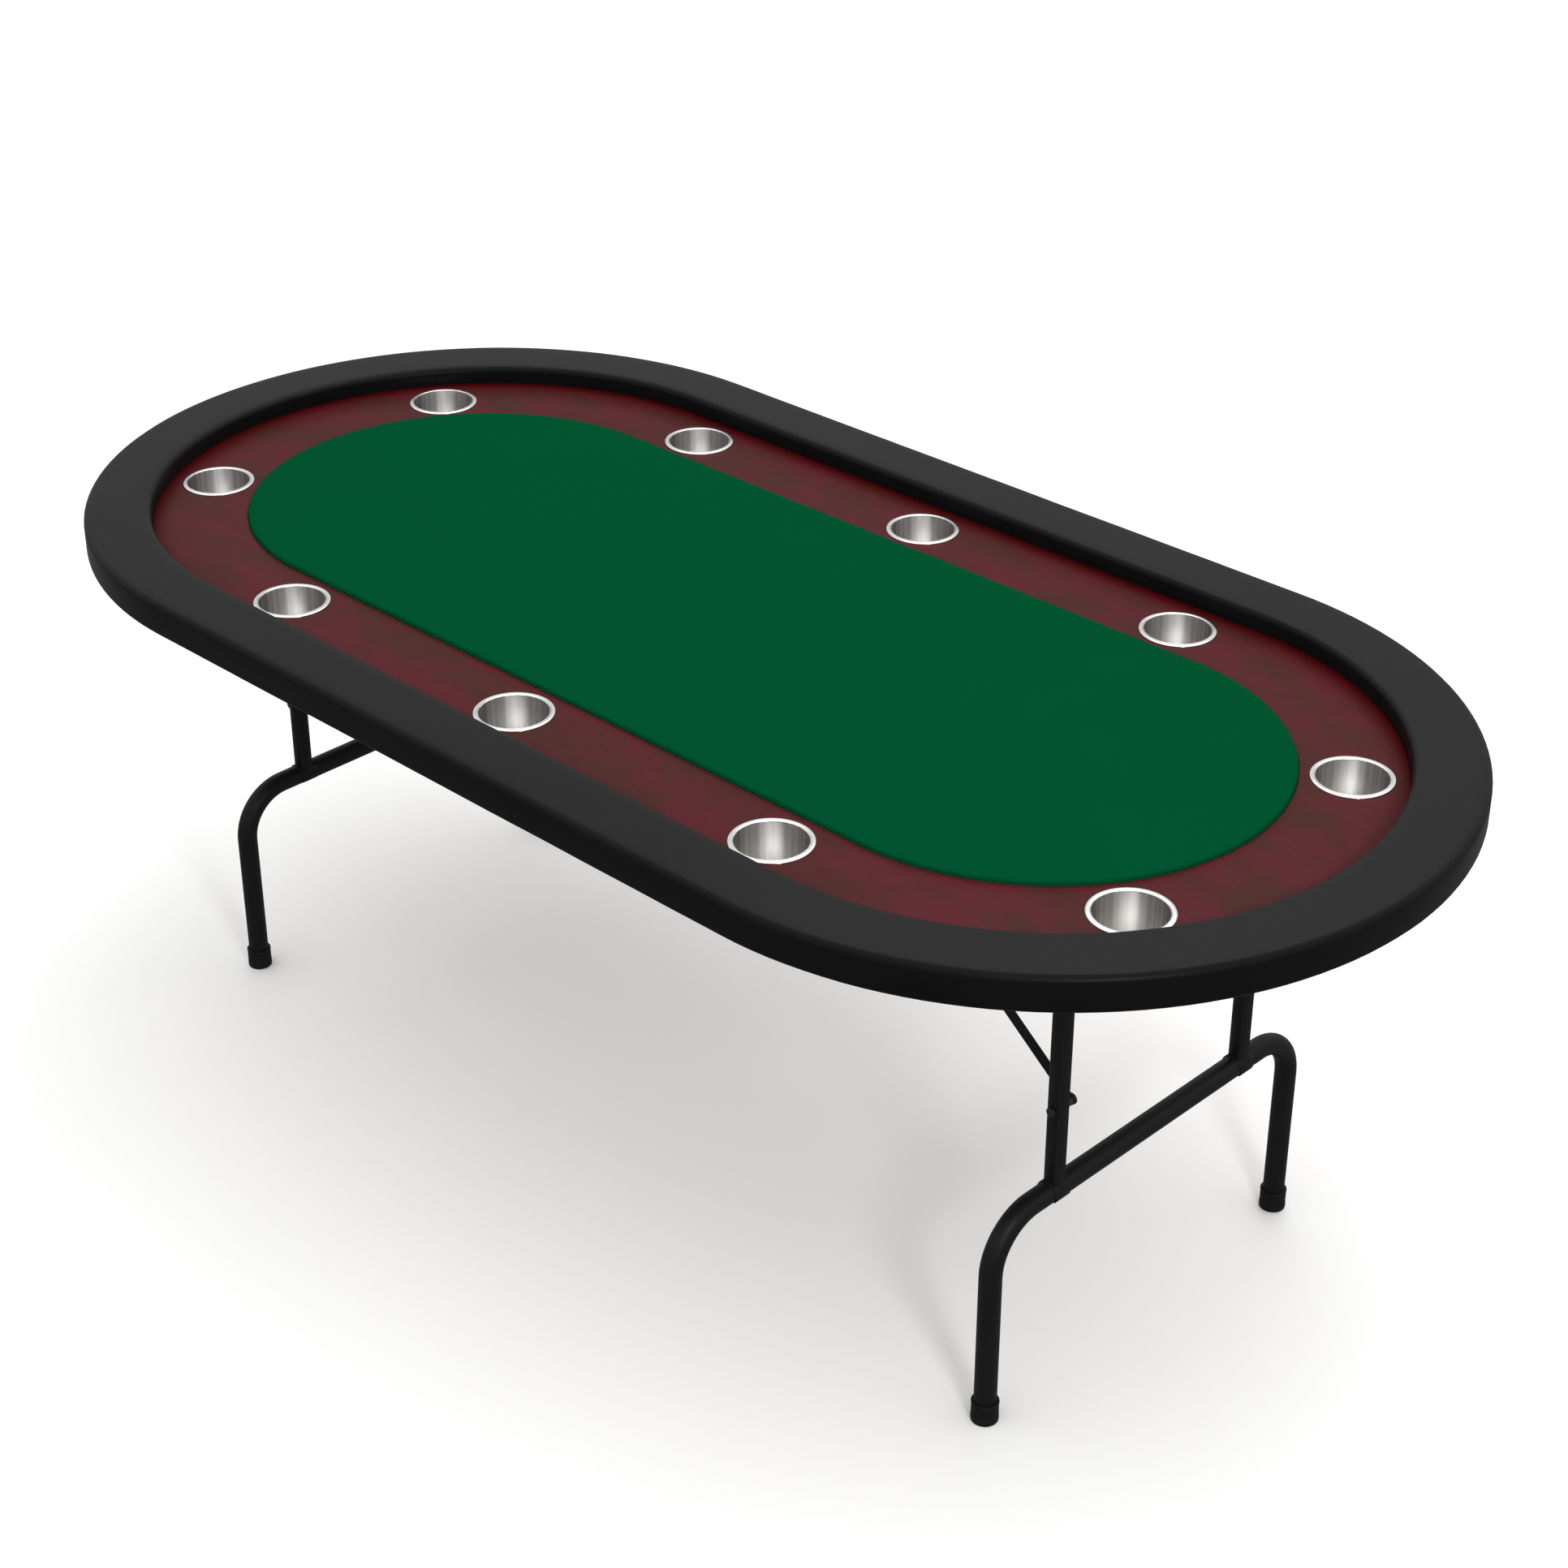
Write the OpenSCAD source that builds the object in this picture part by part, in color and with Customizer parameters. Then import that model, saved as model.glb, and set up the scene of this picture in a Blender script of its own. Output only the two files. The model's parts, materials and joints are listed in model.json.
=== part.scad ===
// Poker table with rounded ends, padded rail, racetrack with drop-in cup holders
// and two folding leg frames. Millimetres, +Z up, origin on the floor under the centre.
// Right and left are +X and -X, back and front are +Y and -Y.

/* [Tabletop] */
// Overall length over the padded rail
table_length = 2104; // [2000:1:2200]
// Overall width over the padded rail
table_width = 1067; // [1040:1:1100]
// Height of the rail's top above the floor
table_height = 758; // [740:1:770]
// Width of the padded rail
rail_width = 91.5; // [88:0.5:94]
// Height of the rail's outer side
rail_height = 44; // [38:1:46]
// Drop from the rail's top to the racetrack
track_drop = 25; // [20:1:28]
// Radius of the playing surface's round ends
playfield_radius = 311; // [300:1:316]
// Height of the cloth above the racetrack
playfield_rise = 6; // [4:0.5:8]
// Thickness of the plywood deck
deck_thickness = 12; // [9:1:15]

/* [Cup holders] */
// Radius of the line of cups about each end's centre
cup_line_radius = 373.7; // [370:0.1:378]
// Diameter of a cup's flange
flange_diameter = 101.6; // [96:0.1:104]
// Thickness of a cup's flange
flange_thickness = 1.5; // [1:0.1:2]
// Outside diameter of a cup's body
cup_diameter = 86; // [80:0.5:90]
// Depth of a cup below the racetrack
cup_depth = 66; // [50:1:72]
// Thickness of a cup's wall
cup_wall = 1; // [0.8:0.1:1.5]

/* [Leg frames] */
// Distance of a leg frame from the middle of the table
frame_x = 723; // [715:1:730]
// Height of the axis that a leg frame folds about
pivot_height = 687; // [680:1:690]
// Outside diameter of the bent lower tube
bow_diameter = 28.6; // [25:0.1:30]
// Outside diameter of the uprights
upright_diameter = 25.4; // [22:0.1:26]
// Outside diameter of the pivot tube
pivot_diameter = 22; // [19:0.5:22]
// Wall of the steel tubes
tube_wall = 1.5; // [1:0.1:2]
// Distance of an upright from the middle of its frame
upright_y = 181.3; // [178:0.1:184]
// Distance of a foot from the middle of its frame
foot_y = 292.8; // [285:0.1:298]
// Height of the cross tube's axis
cross_height = 288; // [280:1:300]
// Centreline radius of the tube's bends
bend_radius = 70; // [60:1:80]
// Diameter of a foot cap
foot_diameter = 35; // [33:0.5:38]
// Height of a foot cap
foot_height = 30; // [25:1:36]

/* [Braces] */
// Angle of a brace below the horizontal
brace_angle = 39; // [38.5:0.1:39.5]
// Height of the bolt that holds a brace to its upright
brace_bolt_height = 405.6; // [404:0.1:407]
// Width of a brace link
link_width = 14; // [12:0.5:16]
// Thickness of a brace link
link_thickness = 3; // [2:0.5:3]

/* [Hidden] */
$fn = 64;
arc_steps = 6;
end_steps = 12;

// Plan of the top: straight sides with half-circle ends
rail_outer = table_width / 2;
straight_half = table_length / 2 - rail_outer;
rail_inner = rail_outer - rail_width;

// Levels
rail_bottom = table_height - rail_height;
track_top = table_height - track_drop;
playfield_top = track_top + playfield_rise;
cover_thickness = 1;
deck_bottom = rail_bottom + cover_thickness;
deck_top = deck_bottom + deck_thickness;
deck_radius = rail_outer - 9.5;

// Rail section
rail_inner_round = 8;
rail_outer_round = 9;
rail_lower_round = 6;
cover_hem_radius = rail_outer - 34;
core_inner = rail_inner + 12;
core_thickness = 16;
core_top = deck_top + core_thickness;

// Playing surface
cloth_thickness = 1;
cloth_round = 5;
track_gap = 0.3;
foam_bottom = track_top;

// Cup holders
cup_count = 10;
cup_spacing = (4 * straight_half + 2 * PI * cup_line_radius) / cup_count;
cup_hole_gap = 1.5;
cup_rim_round = 2;

// Screws
rail_screw_count = 16;
rail_screw_line = (core_inner + deck_radius) / 2;
rail_screw_length = deck_thickness + 11;
field_screw_length = deck_thickness + 4;
field_screw_rows = [-450, -150, 150, 450];
field_screw_y = 200;
screw_radius = 2.5;
head_radius = 4.6;
head_height = 2.4;
hole_gap = 0.3;

// Feet
foot_cap_floor = 6;

// Saddle at the foot of an upright, which wraps the cross tube's sides
saddle_drop = 9;
saddle_rise = 12;

// Brackets
plate = 3;
bracket_screw_length = plate + 9;
leg_ear_y = upright_y + upright_diameter / 2 + 2.7;
leg_ear_half = 20;
leg_flange_half = 32;
leg_flange_reach = 42;
brace_ear_half = 14;
brace_flange_half = 28;
brace_flange_reach = 36;

// Brace links, from the middle of the table outwards: bracket ear, upper link, cap nut, lower link, upright
upper_link_y = 149;
lower_link_y = 158;
brace_ear_y = upper_link_y - 1 - plate;
pin_radius = 4;
pin_head_radius = 7;
pin_head = 2;
running_gap = 0.05;
side_gap = 0.3;
cap_nut_radius = 7.5;
cap_nut_rim = 2.6;
cap_nut_height = 5;
bolt_end_y = lower_link_y + link_thickness + 0.4;
bolt_shoulder_radius = 6.5;
bolt_head_radius = 6;
bolt_head = 2.6;
stop_tail = 18;
stop_length = 10;
stop_thickness = 1.6;

// A brace folds flat when its links differ by the gap that is left in the folded state
brace_drop = pivot_height - brace_bolt_height;
brace_run = brace_drop / tan(brace_angle);
brace_x = frame_x - brace_run;
brace_length = brace_drop / sin(brace_angle);
folded_gap = brace_run - brace_drop;
upper_length = (brace_length + folded_gap) / 2;
lower_length = (brace_length - folded_gap) / 2;

// Colours
vinyl_black = [0.13, 0.13, 0.14];
felt_green = [0.0, 0.34, 0.2];
mahogany = [0.38, 0.2, 0.2];
plywood = [0.72, 0.56, 0.38];
foam_grey = [0.62, 0.62, 0.6];
stainless = [0.78, 0.78, 0.76];
frame_black = [0.1, 0.1, 0.1];
cap_black = [0.06, 0.06, 0.06];
zinc = [0.66, 0.67, 0.68];

SIDES = ["right", "left"];
ENDS = ["front", "back"];
CORNER_PARTS = ["upright_", "leg_bracket_", "brace_bracket_", "upper_link_", "lower_link_", "link_rivets_"];

// Points of an arc, and a list turned round
function arc(cx, cy, r, from, to, steps = arc_steps) =
    [for (i = [0 : steps]) let (a = from + (to - from) * i / steps) [cx + r * cos(a), cy + r * sin(a)]];
function backwards(list) = [for (i = [len(list) - 1 : -1 : 0]) list[i]];

// Place on the line of stadium shape and end radius r, at distance s from the front's middle
function quarter_turn_place(s, r) =
    s <= straight_half ? [s, -r]
    : s <= straight_half + PI * r
        ? let (a = (s - straight_half) / r * 180 / PI - 90) [straight_half + r * cos(a), r * sin(a)]
        : [2 * straight_half + PI * r - s, r];
function line_place(s, r) =
    let (half_turn = 2 * straight_half + PI * r)
    s < half_turn ? quarter_turn_place(s, r) : -quarter_turn_place(s - half_turn, r);
function cup_place(i) = line_place((i - 1) * cup_spacing, cup_line_radius);

// A section, drawn as radius and height, carried round the stadium plan
module stadium_sweep() {
    for (turn = [0, 180]) rotate([0, 0, turn]) {
        translate([straight_half, 0, 0]) rotate([0, 0, -90]) rotate_extrude(angle = 180) children();
        translate([-straight_half, 0, 0]) rotate([90, 0, 90])
            linear_extrude(height = 2 * straight_half) children();
    }
}

module stadium_board(radius, bottom, top) {
    stadium_sweep() translate([0, bottom]) square([radius, top - bottom]);
}

module stadium_ring(inner, outer, bottom, top) {
    stadium_sweep() translate([inner, bottom]) square([outer - inner, top - bottom]);
}

module cup_holes(bottom, top) {
    for (i = [1 : cup_count])
        translate([cup_place(i)[0], cup_place(i)[1], bottom - 1])
            cylinder(r = cup_diameter / 2 + cup_hole_gap, h = top - bottom + 2);
}

// Right back corner's pieces, carried to the other corners
module corner(side, end) {
    mirror([side == "left" ? 1 : 0, 0, 0]) mirror([0, end == "front" ? 1 : 0, 0]) children();
}

// A solid of revolution lying along Y from one distance to another
module along_y(x, z, from, to, radius) {
    translate([x, from, z]) rotate([-90, 0, 0]) cylinder(r = radius, h = to - from);
}

// ---- Tabletop ----
module deck_board() {
    color(plywood) difference() {
        stadium_board(deck_radius, deck_bottom, deck_top);
        cup_holes(deck_bottom, deck_top);
    }
}

module racetrack() {
    color(mahogany) difference() {
        stadium_ring(playfield_radius + track_gap, rail_inner - track_gap, deck_top, track_top);
        cup_holes(deck_top, track_top);
    }
}

module playfield_board() {
    color(plywood) stadium_board(playfield_radius - cloth_thickness, deck_top, foam_bottom);
}

// Section of the foam and of the cloth's outside, with a rounded upper edge
function field_outline(inset, bottom) = concat(
    [[0, bottom], [playfield_radius - inset, bottom]],
    arc(playfield_radius - cloth_round, playfield_top - cloth_round, cloth_round - inset, 0, 90),
    [[0, playfield_top - inset]]
);

module playfield_foam() {
    color(foam_grey) stadium_sweep() polygon(field_outline(cloth_thickness, foam_bottom));
}

module playfield_cloth() {
    outer = field_outline(0, deck_top);
    inner = field_outline(cloth_thickness, deck_top);
    color(felt_green) stadium_sweep() polygon(concat(
        [for (i = [1 : len(outer) - 1]) outer[i]],
        backwards([for (i = [1 : len(inner) - 1]) inner[i]])
    ));
}

// ---- Padded rail ----
// Section from the foot of the inner wall, over the top and down to the lower edge
function rail_outline(inset) = concat(
    [[rail_inner + inset, deck_top]],
    arc(rail_inner + rail_inner_round, table_height - rail_inner_round, rail_inner_round - inset, 180, 90),
    arc(rail_outer - rail_outer_round, table_height - rail_outer_round, rail_outer_round - inset, 90, 0),
    arc(rail_outer - rail_lower_round, rail_bottom + rail_lower_round, rail_lower_round - inset, 0, -90)
);

module rail_core() {
    color(plywood) stadium_ring(core_inner, deck_radius, deck_top, core_top);
}

module rail_foam() {
    color(foam_grey) stadium_sweep() polygon(concat(
        rail_outline(cover_thickness),
        [[deck_radius, deck_bottom], [deck_radius, core_top], [core_inner, core_top], [core_inner, deck_top]]
    ));
}

module rail_cover() {
    color(vinyl_black) stadium_sweep() polygon(concat(
        rail_outline(0),
        [[cover_hem_radius, rail_bottom], [cover_hem_radius, deck_bottom]],
        backwards(rail_outline(cover_thickness))
    ));
}

// ---- Cup holders ----
module cup_holder(i) {
    body = cup_diameter / 2;
    top = track_top + flange_thickness;
    bottom = track_top - cup_depth;
    color(stainless) translate([cup_place(i)[0], cup_place(i)[1], 0]) difference() {
        union() {
            translate([0, 0, track_top]) cylinder(r = flange_diameter / 2, h = flange_thickness);
            translate([0, 0, bottom]) cylinder(r = body, h = top - bottom);
        }
        translate([0, 0, bottom + cup_wall]) cylinder(r = body - cup_wall, h = cup_depth + 2 * flange_thickness);
        translate([0, 0, top - cup_rim_round])
            cylinder(r1 = body - cup_wall, r2 = body - cup_wall + cup_rim_round, h = cup_rim_round + 0.01);
    }
}

// ---- Screws ----
// A pan-head screw that points up, its head's seat at the given level
module screw(x, y, seat, length) {
    translate([x, y, seat - head_height]) cylinder(r = head_radius, h = head_height);
    translate([x, y, seat - head_height]) cylinder(r = screw_radius, h = length + head_height);
}

module rail_screws() {
    step = (4 * straight_half + 2 * PI * rail_screw_line) / rail_screw_count;
    color(zinc) for (i = [0 : rail_screw_count - 1])
        let (p = line_place((i + 0.5) * step, rail_screw_line))
        screw(p[0], p[1], deck_bottom, rail_screw_length);
}

module playfield_screws() {
    color(zinc) for (x = field_screw_rows) for (y = [-field_screw_y, field_screw_y])
        screw(x, y, deck_bottom, field_screw_length);
}

function leg_bracket_holes() =
    [for (x = [-20, 20]) for (y = [14, 32]) [frame_x + x, leg_ear_y + y]];
function brace_bracket_holes() =
    [for (x = [-17, 17]) [brace_x + x, brace_ear_y - 18]];

module leg_bracket_screws() {
    color(zinc) for (s = SIDES) for (e = ENDS) corner(s, e)
        for (p = leg_bracket_holes()) screw(p[0], p[1], deck_bottom - plate, bracket_screw_length);
}

module brace_bracket_screws() {
    color(zinc) for (s = SIDES) for (e = ENDS) corner(s, e)
        for (p = brace_bracket_holes()) screw(p[0], p[1], deck_bottom - plate, bracket_screw_length);
}

// ---- Brackets ----
// Plate that hangs from the deck with a round lower end, its outline about the pin's axis
module ear(x, y, half_width, bore_radius) {
    drop = deck_bottom - pivot_height;
    difference() {
        translate([x, y, pivot_height]) rotate([90, 0, 0]) translate([0, 0, -plate])
            linear_extrude(height = plate)
                polygon(concat([[half_width, drop], [-half_width, drop]],
                    arc(0, 0, half_width, 180, 360, end_steps)));
        along_y(x, pivot_height, y - 1, y + plate + 1, bore_radius);
    }
}

module leg_bracket(side, end) {
    color(frame_black) corner(side, end) {
        ear(frame_x, leg_ear_y, leg_ear_half, pivot_diameter / 2 + running_gap);
        difference() {
            translate([frame_x - leg_flange_half, leg_ear_y, deck_bottom - plate])
                cube([2 * leg_flange_half, leg_flange_reach, plate]);
            for (p = leg_bracket_holes()) translate([p[0], p[1], deck_bottom - 2 * plate])
                cylinder(r = screw_radius + hole_gap, h = 3 * plate);
        }
    }
}

module brace_bracket(side, end) {
    color(frame_black) corner(side, end) {
        ear(brace_x, brace_ear_y, brace_ear_half, pin_radius);
        difference() {
            translate([brace_x - brace_flange_half, brace_ear_y + plate - brace_flange_reach,
                deck_bottom - plate])
                cube([2 * brace_flange_half, brace_flange_reach, plate]);
            for (p = brace_bracket_holes()) translate([p[0], p[1], deck_bottom - 2 * plate])
                cylinder(r = screw_radius + hole_gap, h = 3 * plate);
        }
    }
}

module brace_pins() {
    color(zinc) for (s = SIDES) for (e = ENDS) corner(s, e) {
        along_y(brace_x, pivot_height, brace_ear_y - pin_head, lower_link_y, pin_radius);
        along_y(brace_x, pivot_height, brace_ear_y - pin_head, brace_ear_y, pin_head_radius);
        along_y(brace_x, pivot_height, upper_link_y + link_thickness + side_gap,
            upper_link_y + link_thickness + side_gap + pin_head, pin_head_radius);
    }
}

// ---- Leg frames ----
// Ring section of the bent tube, centred on the origin
module bow_section() {
    difference() {
        circle(r = bow_diameter / 2);
        circle(r = bow_diameter / 2 - tube_wall);
    }
}

module leg_bow(side) {
    bend_y = foot_y - bend_radius;
    bend_z = cross_height - bend_radius;
    color(frame_black) translate([side == "left" ? -frame_x : frame_x, 0, 0]) {
        translate([0, -bend_y, cross_height]) rotate([-90, 0, 0])
            linear_extrude(height = 2 * bend_y) bow_section();
        for (m = [0, 1]) mirror([0, m, 0]) {
            translate([0, bend_y, bend_z]) rotate([0, -90, 0])
                rotate_extrude(angle = 90) translate([bend_radius, 0]) bow_section();
            translate([0, foot_y, foot_cap_floor])
                linear_extrude(height = bend_z - foot_cap_floor) bow_section();
        }
    }
}
module upright(side, end) {
    inner = upright_diameter / 2 - tube_wall;
    saddle_half = bow_diameter / 2 + tube_wall;
    color(frame_black) corner(side, end) difference() {
        union() {
            difference() {
                translate([frame_x, upright_y, cross_height])
                    cylinder(r = upright_diameter / 2, h = pivot_height - cross_height);
                translate([frame_x, upright_y, cross_height - 1])
                    cylinder(r = inner, h = pivot_height - cross_height + 2);
            }
            intersection() {
                along_y(frame_x, cross_height, upright_y - upright_diameter / 2,
                    upright_y + upright_diameter / 2, saddle_half);
                translate([frame_x - 20, upright_y - 20, cross_height - saddle_drop])
                    cube([40, 40, saddle_drop + saddle_rise]);
            }
        }
        along_y(frame_x, cross_height, upright_y - 40, upright_y + 40, bow_diameter / 2);
        along_y(frame_x, pivot_height, upright_y - 40, upright_y + 40, pivot_diameter / 2);
        along_y(frame_x, brace_bolt_height, upright_y - 40, upright_y + 40, pin_radius);
    }
}

module pivot_tube(side) {
    reach = leg_ear_y + plate + 4;
    x = side == "left" ? -frame_x : frame_x;
    color(frame_black) difference() {
        along_y(x, pivot_height, -reach, reach, pivot_diameter / 2);
        along_y(x, pivot_height, -reach - 1, reach + 1, pivot_diameter / 2 - tube_wall);
    }
}

module foot_caps(side) {
    color(cap_black) for (e = ENDS) corner(side, e) translate([frame_x, foot_y, 0]) difference() {
        union() {
            cylinder(r1 = foot_diameter / 2 - 1.5, r2 = foot_diameter / 2, h = 1.5);
            translate([0, 0, 1.5]) cylinder(r = foot_diameter / 2, h = foot_height - 1.5);
        }
        translate([0, 0, foot_cap_floor]) cylinder(r = bow_diameter / 2, h = foot_height);
    }
}

// Shouldered bolt: head outside the upright, shoulder between it and the brace, end short of the link
module brace_bolts(side) {
    outer_y = upright_y + upright_diameter / 2;
    color(frame_black) for (e = ENDS) corner(side, e) {
        along_y(frame_x, brace_bolt_height, bolt_end_y, outer_y + 1, pin_radius);
        along_y(frame_x, brace_bolt_height, outer_y, outer_y + bolt_head, bolt_head_radius);
        difference() {
            along_y(frame_x, brace_bolt_height, bolt_end_y, upright_y, bolt_shoulder_radius);
            translate([frame_x, upright_y, brace_bolt_height - 20])
                cylinder(r = upright_diameter / 2, h = 40);
        }
    }
}

// ---- Brace links ----
// Drawn along X from the bracket's pin, then turned down to the brace's angle
module brace_frame(side, end) {
    corner(side, end) translate([brace_x, 0, pivot_height]) rotate([0, brace_angle, 0]) children();
}

module bar(from, to, y) {
    r = link_width / 2;
    rotate([90, 0, 0]) translate([0, 0, -y - link_thickness]) linear_extrude(height = link_thickness)
        polygon(concat(arc(from, 0, r, 90, 270, end_steps), arc(to, 0, r, -90, 90, end_steps)));
}

module upper_link(side, end) {
    color(frame_black) brace_frame(side, end) difference() {
        bar(0, upper_length, upper_link_y);
        for (x = [0, upper_length])
            along_y(x, 0, upper_link_y - 1, upper_link_y + link_thickness + 1, pin_radius + running_gap);
    }
}

// The tail's tab lies on the upper link's edge and stops the brace going past straight
module lower_link(side, end) {
    tab_z = link_width / 2 + side_gap;
    color(frame_black) brace_frame(side, end) difference() {
        union() {
            bar(upper_length - stop_tail, upper_length + lower_length, lower_link_y);
            translate([upper_length - stop_tail, upper_link_y, tab_z])
                cube([stop_length, lower_link_y - upper_link_y + link_thickness, stop_thickness]);
            translate([upper_length - stop_tail, lower_link_y, 0])
                cube([stop_length, link_thickness, tab_z + stop_thickness]);
        }
        for (x = [upper_length, upper_length + lower_length])
            along_y(x, 0, lower_link_y - 1, lower_link_y + link_thickness + 1, pin_radius);
    }
}

// The middle rivet joins the links across a collar. The end pin is flush with the lower link's outer
// face and carries a domed cap nut on the inner one.
module link_rivets(side, end) {
    outer = lower_link_y + link_thickness;
    inner = upper_link_y - side_gap;
    collar = upper_link_y + link_thickness + side_gap;
    color(frame_black) brace_frame(side, end) {
        along_y(upper_length, 0, inner - pin_head, outer + pin_head, pin_radius);
        along_y(upper_length, 0, inner - pin_head, inner, pin_head_radius);
        along_y(upper_length, 0, collar, lower_link_y, pin_head_radius);
        along_y(upper_length, 0, outer, outer + pin_head, pin_head_radius);
        along_y(upper_length + lower_length, 0, lower_link_y - 1, outer, pin_radius);
        translate([upper_length + lower_length, lower_link_y, 0]) rotate([90, 0, 0]) cap_nut();
    }
}

module cap_nut() {
    dome = cap_nut_height - cap_nut_rim;
    ball = (pow(cap_nut_radius - 1, 2) + dome * dome) / (2 * dome);
    cylinder(r = cap_nut_radius, h = cap_nut_rim);
    intersection() {
        translate([0, 0, cap_nut_height - ball]) sphere(r = ball);
        cylinder(r = cap_nut_radius - 1, h = cap_nut_height + 1);
    }
}

deck_board();
racetrack();
playfield_board();
playfield_foam();
playfield_cloth();
rail_core();
rail_foam();
rail_cover();
rail_screws();
playfield_screws();
for (i = [1 : cup_count]) cup_holder(i);
for (s = SIDES) {
    leg_bow(s);
    pivot_tube(s);
    foot_caps(s);
    brace_bolts(s);
    for (e = ENDS) {
        upright(s, e);
        leg_bracket(s, e);
        brace_bracket(s, e);
        upper_link(s, e);
        lower_link(s, e);
        link_rivets(s, e);
    }
}
leg_bracket_screws();
brace_bracket_screws();
brace_pins();
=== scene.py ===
import json
from math import atan2, cos, hypot, pi, radians, sin

import bpy
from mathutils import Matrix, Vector


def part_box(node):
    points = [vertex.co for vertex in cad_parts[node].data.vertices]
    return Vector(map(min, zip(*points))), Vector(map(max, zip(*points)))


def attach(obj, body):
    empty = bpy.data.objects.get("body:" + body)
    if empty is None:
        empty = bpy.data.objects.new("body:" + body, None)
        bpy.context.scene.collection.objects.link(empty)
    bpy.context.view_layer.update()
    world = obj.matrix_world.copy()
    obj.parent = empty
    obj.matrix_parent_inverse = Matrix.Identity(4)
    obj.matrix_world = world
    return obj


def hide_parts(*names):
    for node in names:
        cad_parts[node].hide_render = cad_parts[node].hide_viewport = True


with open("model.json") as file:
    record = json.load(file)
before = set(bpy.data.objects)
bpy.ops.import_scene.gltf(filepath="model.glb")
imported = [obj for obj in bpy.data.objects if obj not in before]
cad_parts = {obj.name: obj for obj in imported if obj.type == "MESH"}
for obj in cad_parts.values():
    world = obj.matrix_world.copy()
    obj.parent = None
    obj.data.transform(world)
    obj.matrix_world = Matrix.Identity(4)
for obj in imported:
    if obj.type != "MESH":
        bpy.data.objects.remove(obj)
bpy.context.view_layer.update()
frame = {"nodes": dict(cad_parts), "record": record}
mm = 0.001
print("frame loaded:", len(frame["nodes"]), "nodes")

# Sizes taken from the frame
railLow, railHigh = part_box("rail_cover")
trackLow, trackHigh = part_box("racetrack")
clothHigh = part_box("playfield_cloth")[1]
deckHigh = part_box("deck_board")[1]
fitGap = 0.3 * mm  # between pieces that touch
railOuter = railHigh.y
straightHalf = railHigh.x - railOuter
railInner = trackHigh.y + fitGap
trackTop = trackHigh.z
clothTop = clothHigh.z
clothRadius = clothHigh.y
sides = ("right", "left")
ends = ("front", "back")
cupNames = [f"cup_holder_{i}" for i in range(1, 11)]


# Camera and light
cameraLook = {
    "place": (2.4705, -2.4307, 2.4494),
    "azimuth": 44.32,
    "elevation": 29.61,
    "lens": 68.05,
    "sensor": 36,
    "nearest": 0.05,
    "farthest": 1000,
}
lightLook = {
    "sky": [(0.0, 0.15), (0.49, 0.25), (0.53, 0.48), (0.75, 0.68), (1.0, 1.0)],
    "skyPower": 1.5,
    "key": {"place": (-0.6, 1.6, 3.6), "aim": (0, 0, 0.7), "size": 2.6, "power": 30},
    "front": {"place": (3.6, -1.9, 2.6), "aim": (0.2, 0, 0.6), "size": 0.8, "power": 52},
}


def backFrom(azimuth, elevation):
    a, e = radians(azimuth), radians(elevation)
    return Vector((sin(a) * cos(e), -cos(a) * cos(e), sin(e)))


def placeCamera():
    look = cameraLook
    data = bpy.data.cameras.new("camera")
    data.lens = look["lens"]
    data.sensor_width = look["sensor"]
    data.clip_start, data.clip_end = look["nearest"], look["farthest"]
    camera = bpy.data.objects.new("camera", data)
    bpy.context.scene.collection.objects.link(camera)
    back = backFrom(look["azimuth"], look["elevation"])
    camera.location = look["place"]
    camera.rotation_mode = "QUATERNION"
    camera.rotation_quaternion = (-back).to_track_quat("-Z", "Y")
    bpy.context.scene.camera = camera


def placeLight(name, look):
    data = bpy.data.lights.new(name, "AREA")
    data.shape = "DISK"
    data.size = look["size"]
    data.energy = look["power"]
    light = bpy.data.objects.new(name, data)
    bpy.context.scene.collection.objects.link(light)
    light.location = look["place"]
    toward = Vector(look["aim"]) - Vector(look["place"])
    light.rotation_mode = "QUATERNION"
    light.rotation_quaternion = toward.to_track_quat("-Z", "Y")


def lightStudio():
    # Bright overhead, dimmer at the horizon and dim below it
    world = bpy.data.worlds.new("studio")
    bpy.context.scene.world = world
    world.use_nodes = True
    tree = world.node_tree
    background = tree.nodes["Background"]
    direction = tree.nodes.new("ShaderNodeTexCoord")
    parts = tree.nodes.new("ShaderNodeSeparateXYZ")
    height = tree.nodes.new("ShaderNodeMath")  # brings -1 to 1 into 0 to 1
    height.operation = "MULTIPLY_ADD"
    height.inputs[1].default_value = height.inputs[2].default_value = 0.5
    shade = tree.nodes.new("ShaderNodeValToRGB")
    stops = shade.color_ramp.elements
    while len(stops) < len(lightLook["sky"]):
        stops.new(0.5)
    for stop, (place, level) in zip(stops, lightLook["sky"]):
        stop.position = place
        stop.color = (level, level, level, 1)
    background.inputs["Strength"].default_value = lightLook["skyPower"]
    tree.links.new(direction.outputs["Generated"], parts.inputs[0])
    tree.links.new(parts.outputs["Z"], height.inputs[0])
    tree.links.new(height.outputs[0], shade.inputs[0])
    tree.links.new(shade.outputs["Color"], background.inputs["Color"])
    for name in ("key", "front"):
        placeLight(name, lightLook[name])
    bpy.context.scene.view_settings.view_transform = "Standard"


placeCamera()
lightStudio()
print("camera and lights placed")


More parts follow.
